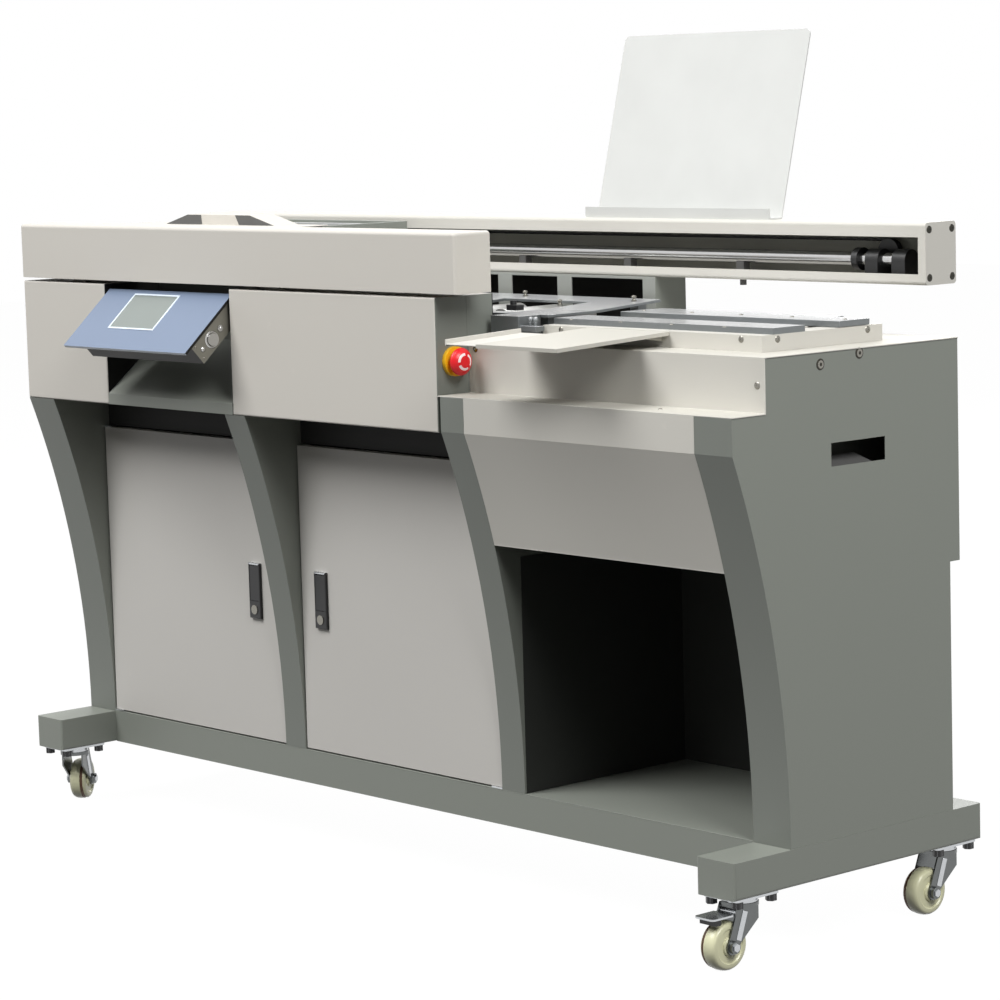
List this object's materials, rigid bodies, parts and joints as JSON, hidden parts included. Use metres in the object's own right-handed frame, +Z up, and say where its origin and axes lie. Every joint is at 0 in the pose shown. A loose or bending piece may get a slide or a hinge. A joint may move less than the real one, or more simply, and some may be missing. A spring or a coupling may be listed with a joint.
{
  "type": "perfect binding machine",
  "caption": "Floor-standing hot-glue book binder: clamp carriage on a rear rail, milling disc, glue rollers, nipping station, console and cupboards on casters.",
  "frame": {"origin": "on the floor, under the middle of the whole machine's bounding box", "axes": "+X from the drive end to the nipping end, +Y from the operator's side to the rear rail, +Z up"},
  "size_m": [1.5356, 0.5444, 1.1635],
  "materials": {
    "grey_paint": "fine orange-peel powder coat",
    "beige_paint": "fine orange-peel powder coat",
    "door_paint": "fine orange-peel powder coat",
    "dark_paint": "matte",
    "steel": "ground and brushed",
    "chrome": "polished",
    "aluminium": "anodised satin",
    "zinc": "zinc plated",
    "brass": "turned",
    "nylon": "moulded",
    "black_plastic": "moulded",
    "console_plastic": "moulded",
    "yellow_plastic": "moulded",
    "red_plastic": "moulded",
    "belt_rubber": "matte",
    "white_sheet": "satin"
  },
  "bodies": {
    "machine": {"base_frame": "grey_paint", "cabinet_floor": "grey_paint", "left_end_wall": "grey_paint", "right_end_wall": "grey_paint", "dividers": "grey_paint", "header_panel": "dark_paint", "front_cover_left": "beige_paint", "front_cover_right": "beige_paint", "console_recess": "grey_paint", "head_cover": "beige_paint", "rear_panel": "grey_paint", "left_deck": "beige_paint", "deck_cover": "beige_paint", "control_gear": "aluminium", "beam_pedestal": "grey_paint", "beam_housing": "beige_paint", "guide_rod": "chrome", "rod_supports": "steel", "drive_belt": "belt_rubber", "carriage_motor": "dark_paint", "bookrest": "white_sheet", "processing_table": "steel", "milling_motor": "dark_paint", "glue_pot": "aluminium", "nip_guides": "dark_paint", "door_hinges": "zinc", "estop_base": "yellow_plastic", "caster_plates": "zinc"},
    "drive_pulley": {"drive_pulley": "black_plastic"},
    "idler_pulley": {"idler_pulley": "black_plastic"},
    "carriage": {"carriage_frame": "steel", "carriage_bushings": "brass", "carriage_cover": "beige_paint"},
    "clamp_jaw": {"clamp_jaw": "steel"},
    "nip_station": {"nip_base": "beige_paint", "nip_fixed_bars": "steel", "cover_tray": "beige_paint"},
    "nip_jaw": {"nip_jaw": "steel"},
    "nip_table": {"nip_table": "steel"},
    "tray_side_guide": {"tray_side_guide": "beige_paint"},
    "milling_disc": {"milling_disc": "steel"},
    "glue_roller_left": {"glue_roller_left": "aluminium"},
    "glue_roller_right": {"glue_roller_right": "aluminium"},
    "door_left": {"door_left": "door_paint"},
    "door_right": {"door_right": "door_paint"},
    "lock_lever_left": {"lock_lever_left": "black_plastic"},
    "lock_lever_right": {"lock_lever_right": "black_plastic"},
    "estop_stem": {"estop_stem": "black_plastic"},
    "estop_cap": {"estop_cap": "red_plastic"},
    "console": {"console": "console_plastic"},
    "console_button": {"console_button": "chrome"},
    "brake_pedal": {"brake_pedal": "zinc"},
    "fork_left_front": {"caster_fork_left_front": "zinc"},
    "wheel_left_front": {"caster_wheel_left_front": "nylon"},
    "fork_left_rear": {"caster_fork_left_rear": "zinc"},
    "wheel_left_rear": {"caster_wheel_left_rear": "nylon"},
    "fork_right_front": {"caster_fork_right_front": "zinc"},
    "wheel_right_front": {"caster_wheel_right_front": "nylon"},
    "fork_right_rear": {"caster_fork_right_rear": "zinc"},
    "wheel_right_rear": {"caster_wheel_right_rear": "nylon"}
  },
  "joints": [
    {"name": "carriage_slide", "type": "slide", "parent": "machine", "child": "carriage", "axis": [1, 0, 0], "range_m": [0, 0.946]},
    {"name": "clamp_slide", "type": "slide", "parent": "carriage", "child": "clamp_jaw", "axis": [0, -1, 0], "range_m": [0, 0.06]},
    {"name": "drive_pulley_turn", "type": "hinge", "parent": "machine", "child": "drive_pulley", "pos_m": [-0.71222, 0.22076, 0.868], "axis": [0, -1, 0], "continuous": true},
    {"name": "idler_pulley_turn", "type": "hinge", "parent": "machine", "child": "idler_pulley", "pos_m": [0.66478, 0.22076, 0.868], "axis": [0, -1, 0], "continuous": true},
    {"name": "nip_station_lift", "type": "slide", "parent": "machine", "child": "nip_station", "axis": [0, 0, 1], "range_m": [0, 0.02]},
    {"name": "nip_jaw_slide", "type": "slide", "parent": "nip_station", "child": "nip_jaw", "axis": [0, -1, 0], "range_m": [0, 0.058]},
    {"name": "nip_table_lift", "type": "slide", "parent": "nip_station", "child": "nip_table", "axis": [0, 0, 1], "range_m": [0, 0.005]},
    {"name": "tray_guide_slide", "type": "slide", "parent": "nip_station", "child": "tray_side_guide", "axis": [1, 0, 0], "range_m": [-0.04, 0.05]},
    {"name": "milling_disc_turn", "type": "hinge", "parent": "machine", "child": "milling_disc", "pos_m": [-0.09722, 0.03476, 0.786], "axis": [0, 0, 1], "continuous": true},
    {"name": "glue_roller_left_turn", "type": "hinge", "parent": "machine", "child": "glue_roller_left", "pos_m": [0.08478, 0.03576, 0.7688], "axis": [0, 1, 0], "continuous": true},
    {"name": "glue_roller_right_turn", "type": "hinge", "parent": "machine", "child": "glue_roller_right", "pos_m": [0.16078, 0.03576, 0.7688], "axis": [0, 1, 0], "continuous": true},
    {"name": "door_left_hinge", "type": "hinge", "parent": "machine", "child": "door_left", "pos_m": [-0.67222, -0.08923, 0.3675], "axis": [0, 0, -1], "range_deg": [0, 90]},
    {"name": "door_right_hinge", "type": "hinge", "parent": "machine", "child": "door_right", "pos_m": [0.21178, -0.08923, 0.3675], "axis": [0, 0, 1], "range_deg": [0, 90]},
    {"name": "lock_lever_left_swing", "type": "hinge", "parent": "door_left", "child": "lock_lever_left", "pos_m": [-0.31222, -0.09743, 0.4034], "axis": [-1, 0, 0], "range_deg": [0, 45]},
    {"name": "lock_lever_right_swing", "type": "hinge", "parent": "door_right", "child": "lock_lever_right", "pos_m": [-0.15672, -0.09743, 0.4034], "axis": [-1, 0, 0], "range_deg": [0, 45]},
    {"name": "estop_push", "type": "slide", "parent": "machine", "child": "estop_stem", "axis": [-1, 0, 0], "range_m": [0, 0.004]},
    {"name": "estop_twist", "type": "hinge", "parent": "estop_stem", "child": "estop_cap", "pos_m": [0.23778, -0.15724, 0.735], "axis": [-1, 0, 0], "range_deg": [0, 30], "stiffness_Nm_per_rad": 0.2},
    {"name": "console_fold", "type": "hinge", "parent": "machine", "child": "console", "pos_m": [-0.38472, -0.17789, 0.80122], "axis": [1, 0, 0], "range_deg": [0, 48]},
    {"name": "console_button_press", "type": "slide", "parent": "console", "child": "console_button", "axis": [-1, 0, 0], "range_m": [0, 0.0018], "stiffness_N_per_m": 600},
    {"name": "swivel_left_front", "type": "hinge", "parent": "machine", "child": "fork_left_front", "pos_m": [-0.71922, -0.15424, 0.082], "axis": [0, 0, 1], "continuous": true},
    {"name": "wheel_left_front_roll", "type": "hinge", "parent": "fork_left_front", "child": "wheel_left_front", "pos_m": [-0.73954, -0.12823, 0.0315], "axis": [-0.788, -0.6157, 0], "continuous": true},
    {"name": "swivel_left_rear", "type": "hinge", "parent": "machine", "child": "fork_left_rear", "pos_m": [-0.71922, 0.22276, 0.082], "axis": [0, 0, 1], "continuous": true},
    {"name": "wheel_left_rear_roll", "type": "hinge", "parent": "fork_left_rear", "child": "wheel_left_rear", "pos_m": [-0.73051, 0.19176, 0.0315], "axis": [0.9397, -0.342, 0], "continuous": true},
    {"name": "swivel_right_front", "type": "hinge", "parent": "machine", "child": "fork_right_front", "pos_m": [0.73478, -0.15424, 0.082], "axis": [0, 0, 1], "continuous": true},
    {"name": "wheel_right_front_roll", "type": "hinge", "parent": "fork_right_front", "child": "wheel_right_front", "pos_m": [0.73478, -0.18724, 0.0315], "axis": [1, 0, 0], "continuous": true},
    {"name": "swivel_right_rear", "type": "hinge", "parent": "machine", "child": "fork_right_rear", "pos_m": [0.73478, 0.22276, 0.082], "axis": [0, 0, 1], "continuous": true},
    {"name": "wheel_right_rear_roll", "type": "hinge", "parent": "fork_right_rear", "child": "wheel_right_rear", "pos_m": [0.73478, 0.18976, 0.0315], "axis": [1, 0, 0], "continuous": true},
    {"name": "brake_pedal_press", "type": "hinge", "parent": "fork_right_front", "child": "brake_pedal", "pos_m": [0.73478, -0.17424, 0.071], "axis": [1, 0, 0], "range_deg": [0, 5.5]}
  ],
  "couplings": [
    {"joint": "drive_pulley_turn", "follows": "carriage_slide", "rad_per_m": 59.52},
    {"joint": "idler_pulley_turn", "follows": "carriage_slide", "rad_per_m": 59.52},
    {"joint": "glue_roller_right_turn", "follows": "glue_roller_left_turn", "ratio": 1}
  ]
}
